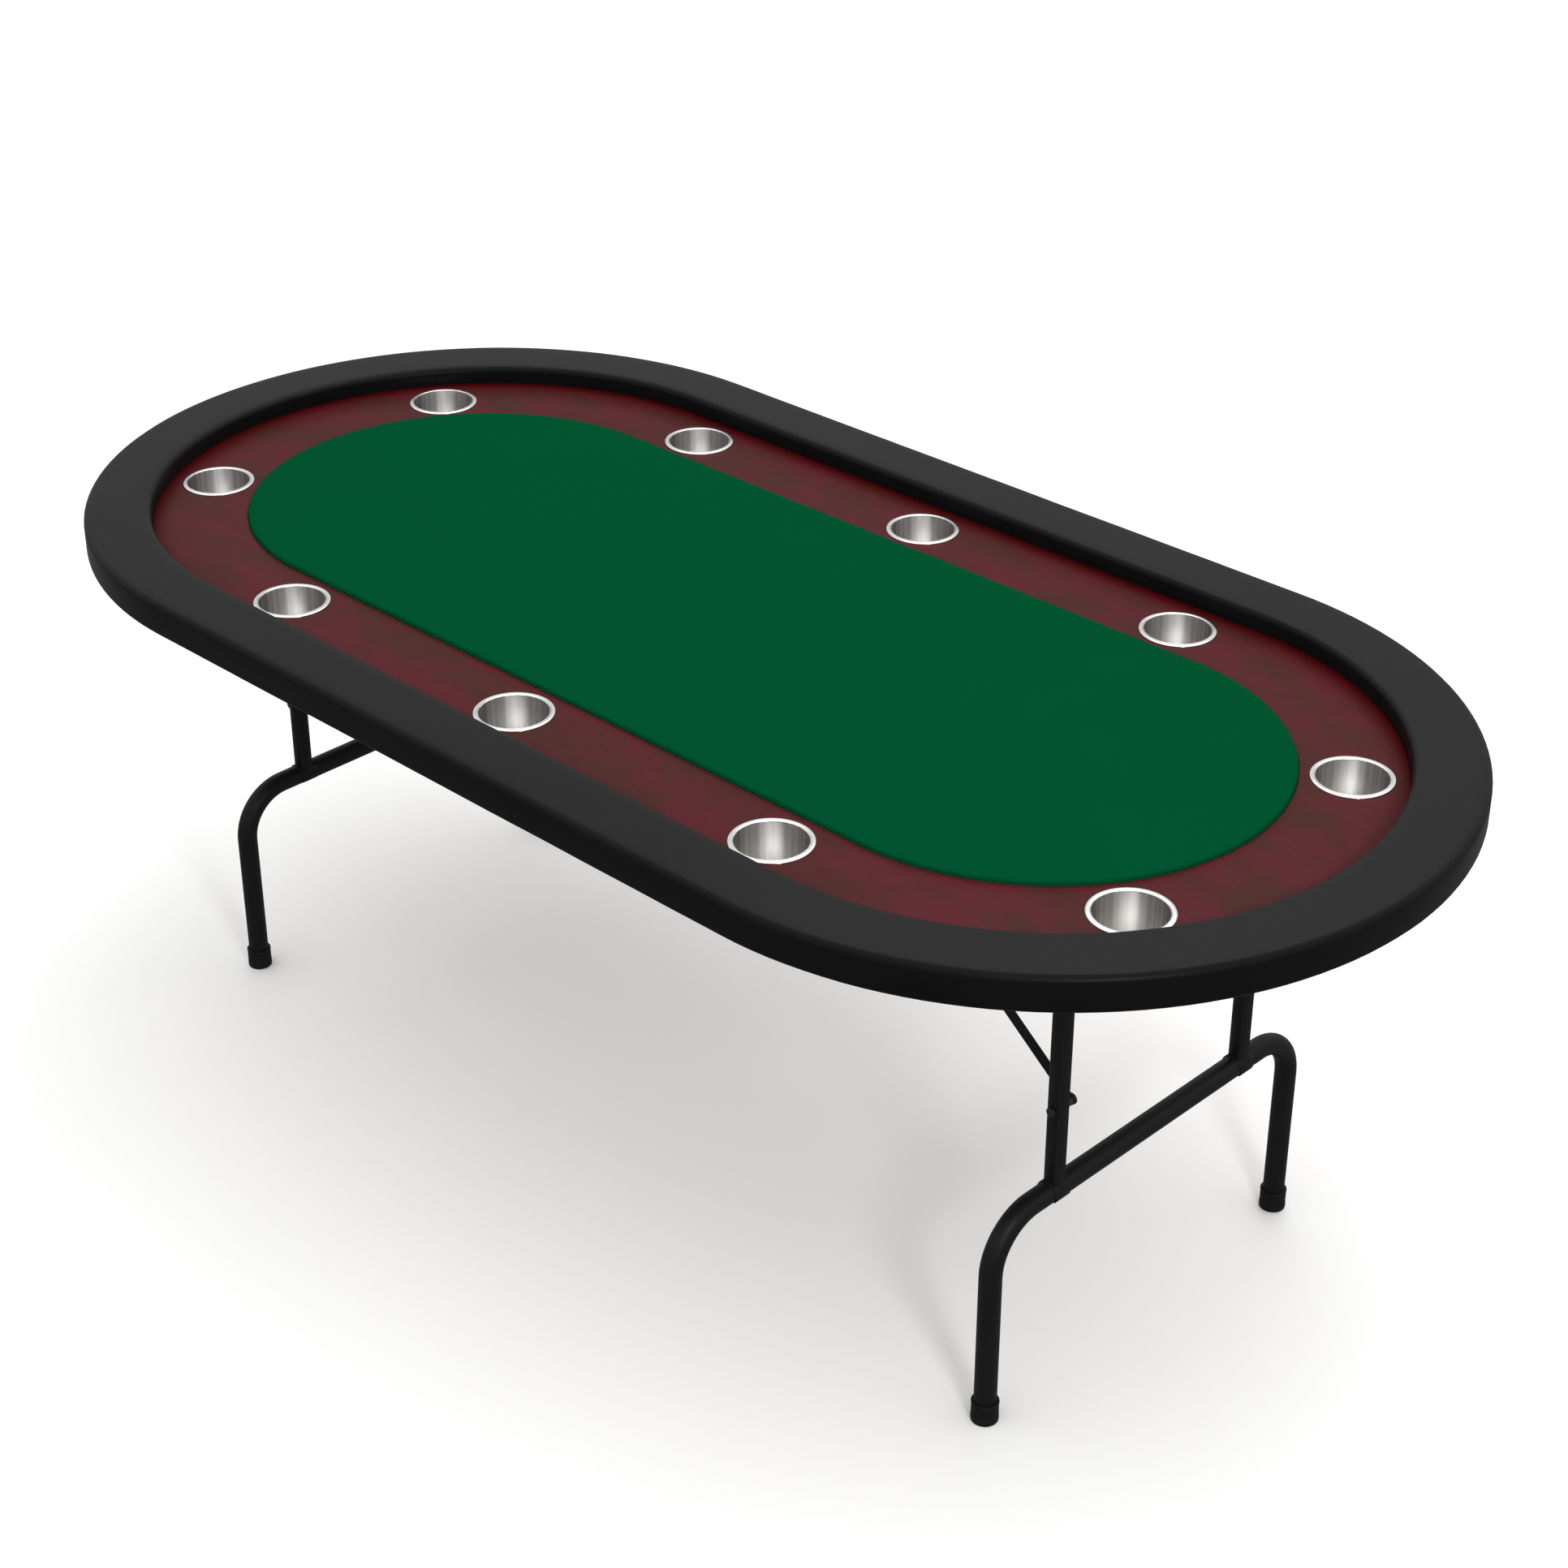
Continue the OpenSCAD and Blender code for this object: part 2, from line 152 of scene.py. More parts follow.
# Materials
class Wire:
    # An output socket that can be used in sums
    def __init__(self, paint, socket):
        self.paint = paint
        self.socket = socket

    def sum(self, operation, first, second):
        return self.paint.node("Math", {"operation": operation}, {0: first, 1: second})

    def __add__(self, other):
        return self.sum("ADD", self, other)

    def __radd__(self, other):
        return self.sum("ADD", other, self)

    def __sub__(self, other):
        return self.sum("SUBTRACT", self, other)

    def __rsub__(self, other):
        return self.sum("SUBTRACT", other, self)

    def __mul__(self, other):
        return self.sum("MULTIPLY", self, other)

    def __rmul__(self, other):
        return self.sum("MULTIPLY", other, self)


class Paint:
    # A material with one Principled shader and the nodes that feed it
    def __init__(self, name, **constants):
        self.material = bpy.data.materials.new(name)
        self.material.use_nodes = True
        self.tree = self.material.node_tree
        self.shader = self.tree.nodes["Principled BSDF"]
        for socket, value in constants.items():
            self.shader.inputs[socket.replace("_", " ")].default_value = value

    def node(self, kind, settings, sockets, output=0):
        made = self.tree.nodes.new("ShaderNode" + kind)
        for key, value in settings.items():
            if key == "stops":
                ramp = made.color_ramp.elements
                while len(ramp) < len(value):
                    ramp.new(0.5)
                for element, (place, colour) in zip(ramp, value):
                    element.position = place
                    element.color = colour
            else:
                setattr(made, key, value)
        for key, value in sockets.items():
            self.plug(made.inputs[key], value)
        return Wire(self, made.outputs[output])

    def plug(self, socket, value):
        if isinstance(value, Wire):
            self.tree.links.new(value.socket, socket)
        else:
            socket.default_value = value

    def feed(self, name, value):
        self.plug(self.shader.inputs[name], value)

    def absolute(self, value):
        return self.node("Math", {"operation": "ABSOLUTE"}, {0: value})

    def along(self, vector, axis):
        return self.node("SeparateXYZ", {}, {"Vector": vector}, axis)

    def place(self, stretch=(1, 1, 1)):
        spot = self.node("TexCoord", {}, {}, "Object")
        return self.node("Mapping", {}, {"Vector": spot, "Scale": stretch})

    def noise(self, where, scale, detail=3.0, rough=0.5):
        sockets = {"Vector": where, "Scale": scale, "Detail": detail, "Roughness": rough}
        return self.node("TexNoise", {}, sockets, 0)

    def cells(self, where, scale, settings):
        return self.node("TexVoronoi", settings, {"Vector": where, "Scale": scale}, "Distance")

    def ramp(self, value, stops):
        return self.node("ValToRGB", {"stops": stops}, {"Fac": value})

    def blend(self, share, first, second):
        return self.node("Mix", {"data_type": "RGBA"}, {0: share, 6: first, 7: second}, 2)

    def bump(self, height, strength, distance):
        sockets = {"Height": height, "Strength": strength, "Distance": distance}
        self.feed("Normal", self.node("Bump", {}, sockets))


def grey(value):
    return (value, value, value, 1)


feltLook = {
    "colour": (0.0, 0.053, 0.0183, 1),
    "pale": (0.0, 0.061, 0.0217, 1),
    "cloud": 7,
    "weave": 1500,
    "stretch": 0.22,  # how much longer a thread's fleck is than wide
    "nap": 0.12,
}


def paintFelt():
    look = feltLook
    paint = Paint(
        "tableCloth", Roughness=0.95, Specular_IOR_Level=0.0, Sheen_Weight=0.004,
        Sheen_Roughness=0.5
    )
    cloud = paint.noise(paint.place(), look["cloud"], 2)
    thread = paint.noise(paint.place((1, look["stretch"], 1)), look["weave"], 2)
    cross = paint.noise(paint.place((look["stretch"], 1, 1)), look["weave"], 2)
    weave = thread * 0.5 + cross * 0.5
    share = cloud * 0.45 + weave * 0.55
    paint.feed("Base Color", paint.blend(share, look["colour"], look["pale"]))
    paint.bump(weave, look["nap"], 0.4 * mm)
    return paint.material


vinylLook = {
    "colour": (0.0032, 0.0032, 0.0034, 1),
    "pale": (0.0058, 0.0058, 0.006, 1),
    "cloud": 9,
    "grain": 620,
    "gloss": 0.3,  # lower is shinier
    "emboss": 0.16,
}


def paintVinyl():
    look = vinylLook
    paint = Paint("railVinyl", Specular_IOR_Level=0.066)
    spot = paint.place()
    cells = paint.cells(spot, look["grain"], {"feature": "SMOOTH_F1"})
    fine = paint.noise(spot, look["grain"] * 2, 2)
    wide = paint.noise(spot, look["cloud"], 3)
    grain = cells * 0.75 + fine * 0.25
    paint.feed("Base Color", paint.blend(wide, look["colour"], look["pale"]))
    paint.feed("Roughness", wide * 0.1 + grain * 0.08 + look["gloss"])
    paint.bump(grain, look["emboss"], 0.35 * mm)
    return paint.material


woodLook = {
    "brown": (0.046, 0.0105, 0.0078, 1),
    "mid": (0.058, 0.0088, 0.0094, 1),
    "red": (0.071, 0.0072, 0.0118, 1),
    # Colour of the pores and of the painted shade beside the rail
    "deep": (0.044, 0.0008, 0.0012, 1),
    "blotch": 17,
    "drift": 4.5,
    "band": 34,
    "pores": 900,
    "poreDepth": 0.3,
    # Painted shade beside the rail: where it starts and how strong it is
    "railShadeFrom": railInner - 34 * mm,
    "railShadeShare": 0.95,
}


def acrossTop(paint):
    # Distance out from the line between the centres of the two round ends
    spot = paint.node("TexCoord", {}, {}, "Object")
    x, y = paint.along(spot, "X"), paint.along(spot, "Y")
    past = paint.absolute(x) - straightHalf
    beyond = paint.node("Math", {"operation": "MAXIMUM"}, {0: past, 1: 0})
    return paint.node("Math", {"operation": "SQRT"}, {0: beyond * beyond + y * y})


def paintMahogany():
    look = woodLook
    paint = Paint("mahogany", Coat_Weight=0.04, Coat_Roughness=0.25, Specular_IOR_Level=0.03)
    cloud = paint.noise(paint.place((0.7, 1.2, 1)), look["blotch"], 3, 0.55)
    drift = paint.noise(paint.place((0.5, 1.4, 1)), look["drift"], 2)
    grain = {0: paint.place((0.06, 1, 1)), 1: drift}
    warp = paint.node("VectorMath", {"operation": "ADD"}, grain)
    band = paint.noise(warp, look["band"], 5, 0.6)
    pore = paint.noise(paint.place((0.035, 1, 1)), look["pores"], 2)
    stops = [(0.42, look["brown"]), (0.5, look["mid"]), (0.59, look["red"])]
    tone = paint.ramp(cloud * 0.7 + band * 0.3, stops)
    pit = paint.ramp(pore, [(0.36, grey(1)), (0.47, grey(0))])
    grained = paint.blend(pit * look["poreDepth"], tone, look["deep"])
    # Painted shade: beside the rail the wood is blended to a dark red, standing in for the shade
    # the rail casts on it
    edges = {"Value": acrossTop(paint), "From Min": look["railShadeFrom"], "From Max": railInner}
    railShade = paint.node("MapRange", {"interpolation_type": "SMOOTHSTEP"}, edges)
    paint.feed("Base Color", paint.blend(railShade * look["railShadeShare"], grained, look["deep"]))
    paint.feed("Roughness", band * 0.12 + 0.36)
    paint.bump(pore, 0.05, 0.1 * mm)
    return paint.material


plyLook = {
    "dark": (0.4, 0.27, 0.15, 1),
    "pale": (0.56, 0.41, 0.25, 1),
    "band": 42,
    "flake": 700,
}


def paintPly():
    look = plyLook
    paint = Paint("plywood", Roughness=0.75, Specular_IOR_Level=0.2)
    band = paint.noise(paint.place((0.05, 1, 1)), look["band"], 5, 0.6)
    flake = paint.noise(paint.place((0.1, 1, 1)), look["flake"], 2)
    share = band * 0.8 + flake * 0.2
    paint.feed("Base Color", paint.blend(share, look["dark"], look["pale"]))
    paint.bump(band, 0.08, 0.3 * mm)
    return paint.material


foamLook = {"dark": grey(0.3), "pale": grey(0.5), "cells": 900}


def paintFoam():
    look = foamLook
    paint = Paint("foam", Roughness=0.95)
    cells = paint.cells(paint.place(), look["cells"], {})
    paint.feed("Base Color", paint.blend(cells, look["dark"], look["pale"]))
    paint.bump(cells, 0.3, 0.5 * mm)
    return paint.material


steelLook = {
    "dark": (0.2, 0.195, 0.19, 1),
    "mid": (0.66, 0.64, 0.62, 1),
    "bright": (0.98, 0.98, 0.97, 1),
    "rim": (0.5, 0.5, 0.495, 1),
    "lines": 9,
    "wide": 2.6,
}


def paintCupSteel():
    # The attribute turns round the cup in X and Y, and is 1 in Z inside it
    look = steelLook
    paint = Paint("brushedStainless", Metallic=1.0)
    turned = paint.node("Attribute", {"attribute_name": "turned"}, {}, "Vector")
    c, s, inside = (paint.along(turned, axis) for axis in "XYZ")
    lines = paint.noise(turned, look["lines"], 4, 0.65)
    wide = paint.noise(turned, look["wide"], 2, 0.5)
    paintedFans = 0.5 - c * s  # painted highlight and shade: bright fans on two opposite sides of each cup, darker between them
    # The painted highlight fans are mixed with the brushing lines into the colour
    share = paintedFans * 0.42 + lines * 0.8 + wide * 0.3 - 0.24
    stops = [(0.22, look["dark"]), (0.5, look["mid"]), (0.8, look["bright"])]
    brushedAndFans = paint.ramp(share, stops)
    # The flange ring also carries the painted highlight fans
    rim = paint.blend(paintedFans * 0.6 + wide * 0.4, look["rim"], look["bright"])
    paint.feed("Base Color", paint.blend(inside, rim, brushedAndFans))
    paint.feed("Roughness", inside * (lines * 0.12 + 0.1) + 0.17)
    paint.bump(lines, 0.12, 0.15 * mm)
    return paint.material


coatLook = {
    "colour": (0.0045, 0.0045, 0.0047, 1),
    "pale": (0.0075, 0.0075, 0.0077, 1),
    "cloud": 14,
    "peel": 900,
    "peelDepth": 0.12,
}


def paintCoat():
    look = coatLook
    paint = Paint("blackPowderCoat", Specular_IOR_Level=0.15)
    spot = paint.place()
    peel = paint.noise(spot, look["peel"], 2)
    wide = paint.noise(spot, look["cloud"], 3)
    paint.feed("Base Color", paint.blend(wide, look["colour"], look["pale"]))
    paint.feed("Roughness", peel * 0.14 + wide * 0.08 + 0.36)
    paint.bump(peel, look["peelDepth"], 0.2 * mm)
    return paint.material


plasticLook = {"dark": grey(0.004), "pale": grey(0.007), "cloud": 60, "stipple": 1400}


def paintCapPlastic():
    look = plasticLook
    paint = Paint("footPlastic", Specular_IOR_Level=0.14)
    spot = paint.place()
    stipple = paint.noise(spot, look["stipple"], 2)
    wide = paint.noise(spot, look["cloud"], 3)
    paint.feed("Base Color", paint.blend(wide, look["dark"], look["pale"]))
    paint.feed("Roughness", stipple * 0.15 + wide * 0.1 + 0.45)
    paint.bump(stipple, 0.15, 0.15 * mm)
    return paint.material


zincLook = {"dark": grey(0.38), "pale": grey(0.55), "cloud": 180}
oxideLook = {"dark": grey(0.006), "pale": grey(0.012), "cloud": 260}


def paintFixing(name, look, **constants):
    # One cloud shades both the colour and the shine
    paint = Paint(name, **constants)
    cloud = paint.noise(paint.place(), look["cloud"], 3)
    paint.feed("Base Color", paint.blend(cloud, look["dark"], look["pale"]))
    paint.feed("Roughness", cloud * 0.2 + 0.28)
    return paint.material


floorLook = {"dark": grey(0.93), "pale": grey(0.95), "cloud": 3, "size": 1200, "drop": 0.2 * mm}


def paintFloor():
    look = floorLook
    paint = Paint("paleFloor", Roughness=0.55, Specular_IOR_Level=0.1)
    cloud = paint.noise(paint.place(), look["cloud"], 2)
    paint.feed("Base Color", paint.blend(cloud, look["dark"], look["pale"]))
    return paint.material


felt = paintFelt()
vinyl = paintVinyl()
mahogany = paintMahogany()
plywood = paintPly()
foam = paintFoam()
cupSteel = paintCupSteel()
coat = paintCoat()
capPlastic = paintCapPlastic()
zinc = paintFixing("zincPlate", zincLook, Metallic=1.0)
oxide = paintFixing("blackOxide", oxideLook, Specular_IOR_Level=0.4)
print("materials mixed")


# Modelling helpers
mergeGap = 0.01 * mm  # vertices closer than this are one


def clearSelection():
    if bpy.context.object and bpy.context.object.mode != "OBJECT":
        bpy.ops.object.mode_set(mode="OBJECT")
    bpy.ops.object.select_all(action="DESELECT")


def takeHold(piece):
    clearSelection()
    piece.select_set(True)
    bpy.context.view_layer.objects.active = piece


def placeFixed():
    bpy.ops.object.transform_apply(location=True, rotation=True, scale=True)


def joinAll(pieces):
    clearSelection()
    for piece in pieces:
        piece.select_set(True)
    bpy.context.view_layer.objects.active = pieces[0]
    bpy.ops.object.join()
    placeFixed()
    return bpy.context.object


def editAll():
    bpy.ops.object.mode_set(mode="EDIT")
    bpy.ops.mesh.select_all(action="SELECT")


def arcPoints(x, z, radius, start, end, steps):
    angles = [radians(start + (end - start) * i / steps) for i in range(steps + 1)]
    return [(x + radius * cos(a), z + radius * sin(a)) for a in angles]


def drawOutline(name, points):
    # One vertex, drawn out from point to point
    clearSelection()
    bpy.ops.mesh.primitive_plane_add(size=0.01, location=points[0])
    piece = bpy.context.object
    piece.name = piece.data.name = name
    placeFixed()
    editAll()
    bpy.ops.mesh.merge(type="CENTER")
    for here, there in zip(points, points[1:]):
        step = [b - a for a, b in zip(here, there)]
        bpy.ops.mesh.extrude_region_move(TRANSFORM_OT_translate={"value": step})
    return piece


def closeUp():
    bpy.ops.mesh.select_all(action="SELECT")
    bpy.ops.mesh.remove_doubles(threshold=mergeGap)
    bpy.ops.mesh.normals_make_consistent(inside=False)
    bpy.ops.object.mode_set(mode="OBJECT")


def drawAlong(move, steps):
    for _ in range(steps):
        part = [value / steps for value in move]
        bpy.ops.mesh.extrude_region_move(TRANSFORM_OT_translate={"value": part})


def sweepTable(turns, lengths):
    # The section at the right end's front, turned round each end and drawn along each side
    bpy.ops.mesh.select_all(action="SELECT")
    for x in (straightHalf, -straightHalf):
        bpy.ops.mesh.spin(steps=turns, angle=pi, center=(x, 0, 0), axis=(0, 0, -1))
        drawAlong((-2 * x, 0, 0), lengths)
    closeUp()


def sectionAt(points):
    return [(straightHalf, -r, z) for r, z in points]


def lathe(name, x, y, points, steps):
    piece = drawOutline(name, [(x + r, y, z) for r, z in points])
    bpy.ops.mesh.select_all(action="SELECT")
    bpy.ops.mesh.spin(steps=steps, angle=2 * pi, center=(x, y, 0), axis=(0, 0, 1))
    closeUp()
    return piece


def addModifier(piece, kind, **settings):
    takeHold(piece)
    modifier = piece.modifiers.new(kind.lower(), kind)
    for key, value in settings.items():
        setattr(modifier, key, value)
    bpy.ops.object.modifier_apply(modifier=modifier.name)


def addRipple(piece, name, size, strength):
    texture = bpy.data.textures.new(name, "CLOUDS")
    texture.noise_scale = size
    addModifier(piece, "DISPLACE", texture=texture, strength=strength, mid_level=0.5)


def finishPiece(piece, material, body, nodes=(), angle=35):
    takeHold(piece)
    piece.data.materials.clear()
    piece.data.materials.append(material)
    bpy.ops.object.shade_smooth_by_angle(angle=radians(angle))
    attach(piece, body)
    if nodes:
        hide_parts(*nodes)


def copyPiece(piece, name, move=(0, 0, 0)):
    # A copy with its own mesh, moved in place
    takeHold(piece)
    bpy.ops.object.duplicate()
    twin = bpy.context.object
    twin.name = twin.data.name = name
    bpy.ops.transform.translate(value=move)
    placeFixed()
    return twin


# Padded rail
railLook = {
    "foot": 5 * mm,  # straight part of the inner wall above the racetrack
    "innerRound": 8 * mm,
    "outerRound": 9 * mm,
    "lowerRound": 6 * mm,
    "flat": (0.2, 0.35, 0.5, 0.65, 0.8),  # lines along the flat top, as shares of its width
    "thickness": 1.1 * mm,
    "hem": 34 * mm,
    "sag": 2.5 * mm,
    "hemLine": [(0.45, 0.9), (0.7, 0.15), (1, 0)],  # shares of the hem and of the sag
    "ripple": 0.5 * mm,
    "rippleSize": 90 * mm,
    "turns": 72,
    "lengths": 40,
}


def makeRail():
    look = railLook
    inner, outer, lower = look["innerRound"], look["outerRound"], look["lowerRound"]
    hem, sag = look["hem"], look["sag"]
    top, width = railHigh.z, railOuter - railInner
    section = [(railInner, deckHigh.z), (railInner, trackTop)]
    section += [(railInner, trackTop + look["foot"])]
    section += arcPoints(railInner + inner, top - inner, inner, 180, 95, 7)
    section += [(railInner + width * share, top) for share in look["flat"]]
    section += arcPoints(railOuter - outer, top - outer, outer, 85, 0, 7)
    section += [(railOuter, (top + railLow.z) / 2)]
    section += arcPoints(railOuter - lower, railLow.z - sag + lower, lower, 0, -90, 5)
    section += [(railOuter - hem * a, railLow.z - sag * b) for a, b in look["hemLine"]]
    rail = drawOutline("railCover", sectionAt(section))
    sweepTable(look["turns"], look["lengths"])
    addRipple(rail, "vinylRipple", look["rippleSize"], look["ripple"])
    addModifier(rail, "SOLIDIFY", thickness=look["thickness"], offset=-1)
    finishPiece(rail, vinyl, "tabletop", ["rail_cover"], 50)


makeRail()
print("rail covered")


# Staples under the rail
stapleLook = {
    "pitch": 38 * mm,
    "width": 10 * mm,
    "wire": 0.9 * mm,
    "inset": 29 * mm,
    "skew": 0.06,  # most that one is off straight, in radians
    "wander": 40,  # how fast the skew changes along the rail
}


def staplePlaces():
    # Along both sides, then round both ends
    radius = railOuter - stapleLook["inset"]
    perStraight = round(2 * straightHalf / stapleLook["pitch"])
    perTurn = round(pi * radius / stapleLook["pitch"])
    places = []
    for i in range(perStraight):
        x = -straightHalf + 2 * straightHalf * (i + 0.5) / perStraight
        places += [(x, -radius, 0), (x, radius, 0)]
    for i in range(perTurn):
        a = -pi / 2 + pi * (i + 0.5) / perTurn
        across, y = radius * cos(a), radius * sin(a)
        places.append((straightHalf + across, y, a - pi / 2))
        places.append((-straightHalf - across, y, pi / 2 - a))
    return places


def makeStaples():
    look = stapleLook
    size = (look["width"], look["wire"], look["wire"])
    z = railLow.z - look["wire"] * 0.5
    clearSelection()
    made = []
    for x, y, turn in staplePlaces():
        turn += look["skew"] * sin(look["wander"] * x)
        bpy.ops.mesh.primitive_cube_add(size=1, location=(x, y, z), rotation=(0, 0, turn))
        bpy.ops.transform.resize(value=size, orient_type="LOCAL")
        made.append(bpy.context.object)
    staples = joinAll(made)
    staples.name = staples.data.name = "hemStaples"
    finishPiece(staples, zinc, "tabletop")


makeStaples()
print("hem stapled")


# Racetrack
trackLook = {"edge": 0.7 * mm, "hole": 44.5 * mm, "cutPast": 4 * mm, "turns": 96}


def cupPlace(name):
    low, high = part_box(name)
    return (low.x + high.x) / 2, (low.y + high.y) / 2


def cutCupHoles(piece, low, high):
    clearSelection()
    depth = high - low + 2 * trackLook["cutPast"]
    cutters = []
    for name in cupNames:
        place = (*cupPlace(name), (low + high) / 2)
        bpy.ops.mesh.primitive_cylinder_add(
            vertices=64, radius=trackLook["hole"], depth=depth, location=place
        )
        cutters.append(bpy.context.object)
    cutter = joinAll(cutters)
    addModifier(piece, "BOOLEAN", object=cutter, operation="DIFFERENCE", solver="EXACT")
    bpy.data.objects.remove(cutter)


def makeRacetrack():
    edge = trackLook["edge"]
    inner, outer = clothRadius + fitGap, railInner - fitGap
    section = [(inner, trackLow.z), (inner, trackTop - edge)]
    section += arcPoints(inner + edge, trackTop - edge, edge, 180, 90, 4)
    section += arcPoints(outer - edge, trackTop - edge, edge, 90, 0, 4)
    section += [(outer, trackLow.z), (inner, trackLow.z)]
    track = drawOutline("racetrackPanel", sectionAt(section))
    sweepTable(trackLook["turns"], 1)
    cutCupHoles(track, trackLow.z, trackTop)
    finishPiece(track, mahogany, "tabletop", ["racetrack"])


makeRacetrack()
print("racetrack cut")


# Playing surface
clothLook = {
    "round": 5 * mm,
    "thickness": 0.8 * mm,
    "rings": [0, 100 * mm, 200 * mm],
    "rim": 20 * mm,  # from the last ring to the rounded edge
    "turns": 72,
    "lengths": 24,
}


def makeCloth():
    look = clothLook
    turn = look["round"]
    rings = look["rings"] + [clothRadius - turn - look["rim"]]
    section = [(r, clothTop) for r in rings]
    section += arcPoints(clothRadius - turn, clothTop - turn, turn, 90, 0, 6)
    section += [(clothRadius, deckHigh.z + fitGap)]
    cloth = drawOutline("playingCloth", sectionAt(section))
    sweepTable(look["turns"], look["lengths"])
    addModifier(cloth, "SOLIDIFY", thickness=look["thickness"], offset=-1)
    finishPiece(cloth, felt, "tabletop", ["playfield_cloth"], 50)
    # Flat, the cloth reaches over the rounded edge and down its side
    flatRadius = clothRadius - turn + turn * pi / 2 + clothTop - turn - deckHigh.z
    area = pi * flatRadius**2 + 4 * flatRadius * straightHalf
    flat = (2 * flatRadius, 2 * (flatRadius + straightHalf))


makeCloth()
print("cloth stretched")


# Cup holders
cupLook = {
    "inner": 43.5 * mm,  # the bore at the rim
    "outer": 44.2 * mm,
    "flange": 50.8 * mm,
    "flangeRise": 1.6 * mm,
    "lip": 1.3 * mm,
    "roll": 1.1 * mm,  # from the flange into the bore
    "depth": 65 * mm,
    "waist": 35 * mm,
    "draft": 1.8 * mm,  # how much narrower the bore is at its floor
    "corner": 5 * mm,
    "gauge": 0.8 * mm,
    "ring": 27 * mm,  # pressed up in the floor
    "ringCrest": 1.5 * mm,
    "ringFoot": 3 * mm,
    "ringRise": 0.8 * mm,
    "ringHollow": 0.7 * mm,
    "steps": 72,
    "fade": 2 * mm,
}


def cupInside(top, floor):
    # From the middle of the floor up the bore and over the rolled rim
    look = cupLook
    inner, corner, draft = look["inner"], look["corner"], look["draft"]
    ring, crest, foot = look["ring"], look["ringCrest"], look["ringFoot"]
    points = [(0, floor), (ring - foot, floor), (ring - crest, floor + look["ringRise"])]
    points += [(ring + crest, floor + look["ringRise"]), (ring + foot, floor)]
    points += arcPoints(inner - corner - draft, floor + corner, corner, -90, 0, 5)
    points += [(inner - draft * 0.6, trackTop - look["waist"])]
    points += [(inner - draft * 0.05, trackTop - 3 * mm)]
    points += arcPoints(inner + look["roll"], top - look["roll"], look["roll"], 180, 90, 6)
    return points


def cupFlange(top):
    # Out to the lip and back under it
    look = cupLook
    flange, lip, under = look["flange"], look["lip"], trackTop + 0.05 * mm
    points = [(flange - 3.4 * mm, top + 0.1 * mm)]
    points += arcPoints(flange - lip, top - lip, lip, 80, 0, 4)
    points += [(flange - 0.1 * mm, under), (flange - 0.9 * mm, under)]
    points += [(flange - 1.2 * mm, trackTop + 0.7 * mm)]
    points += [(look["inner"] + look["roll"] + 1 * mm, trackTop + 0.7 * mm)]
    return points


def cupOutside(base):
    # Down the wall and back to the middle
    look = cupLook
    outer, corner, draft = look["outer"], look["corner"], look["draft"]
    ring, crest, foot = look["ring"], look["ringCrest"], look["ringFoot"]
    points = [(outer + 0.1 * mm, trackTop - 1 * mm)]
    points += [(outer - draft * 0.05, trackTop - 4 * mm)]
    points += [(outer - draft * 0.6, trackTop - look["waist"])]
    points += arcPoints(outer - corner - draft, base + corner, corner, 0, -90, 5)
    points += [(ring + foot, base), (ring + crest, base + look["ringHollow"])]
    points += [(ring - crest, base + look["ringHollow"]), (ring - foot, base), (0, base)]
    return points


def cupSection():
    floor = trackTop - cupLook["depth"] + cupLook["gauge"]
    top = trackTop + cupLook["flangeRise"]
    return cupInside(top, floor) + cupFlange(top) + cupOutside(floor - cupLook["gauge"])


def writeTurned(cup, x, y):
    mark = cup.data.attributes.new("turned", "FLOAT_VECTOR", "POINT")
    borePast = cupLook["inner"] + cupLook["roll"] + 0.1 * mm
    for vertex, item in zip(cup.data.vertices, mark.data):
        across, along = vertex.co.x - x, vertex.co.y - y
        angle = atan2(along, across)
        inside = min(max((trackTop - vertex.co.z) / cupLook["fade"], 0), 1)
        if hypot(across, along) < borePast:
            inside = 1
        item.vector = (cos(angle), sin(angle), inside)


def makeCups():
    x, y = cupPlace(cupNames[0])
    first = lathe("cup_1", x, y, cupSection(), cupLook["steps"])
    writeTurned(first, x, y)
    for number, name in enumerate(cupNames, 1):
        there = cupPlace(name)
        move = (there[0] - x, there[1] - y, 0)
        cup = copyPiece(first, f"cupHolder{number}", move)
        finishPiece(cup, cupSteel, "tabletop", [name], 40)
    bpy.data.objects.remove(first)


makeCups()
print("cup holders turned")


# Leg frames
frameLook = {
    "tube": 14.3 * mm,
    "wall": 1.5 * mm,
    "bend": 70 * mm,
    "bendSteps": 14,
    "facets": 40,
}


def bendTube(x, y, z):
    steps = frameLook["bendSteps"]
    bpy.ops.mesh.spin(steps=steps, angle=pi / 2, center=(x, y, z), axis=(1, 0, 0))


def makeBow(side):
    # Up one leg, round a bend, across, round the other bend and down
    look = frameLook
    low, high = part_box(f"leg_bow_{side}")
    x = (low.x + high.x) / 2
    tube, bend = look["tube"], look["bend"]
    footY = high.y - tube
    bendZ = high.z - tube - bend
    clearSelection()
    bpy.ops.mesh.primitive_circle_add(
        vertices=look["facets"], radius=tube, location=(x, -footY, low.z)
    )
    bow = bpy.context.object
    bow.name = bow.data.name = f"legBow{side.title()}"
    placeFixed()
    editAll()
    drawAlong((0, 0, bendZ - low.z), 4)
    bendTube(x, bend - footY, bendZ)
    drawAlong((0, 2 * (footY - bend), 0), 8)
    bendTube(x, footY - bend, bendZ)
    drawAlong((0, 0, low.z - bendZ), 4)
    closeUp()
    addModifier(bow, "SOLIDIFY", thickness=look["wall"], offset=-1)
    finishPiece(bow, coat, f"leg_frame_{side}", [f"leg_bow_{side}"], 50)


weldLook = {"bead": 1.5 * mm, "ripple": 1.2 * mm, "rippleSize": 4 * mm, "bite": 0.5 * mm}


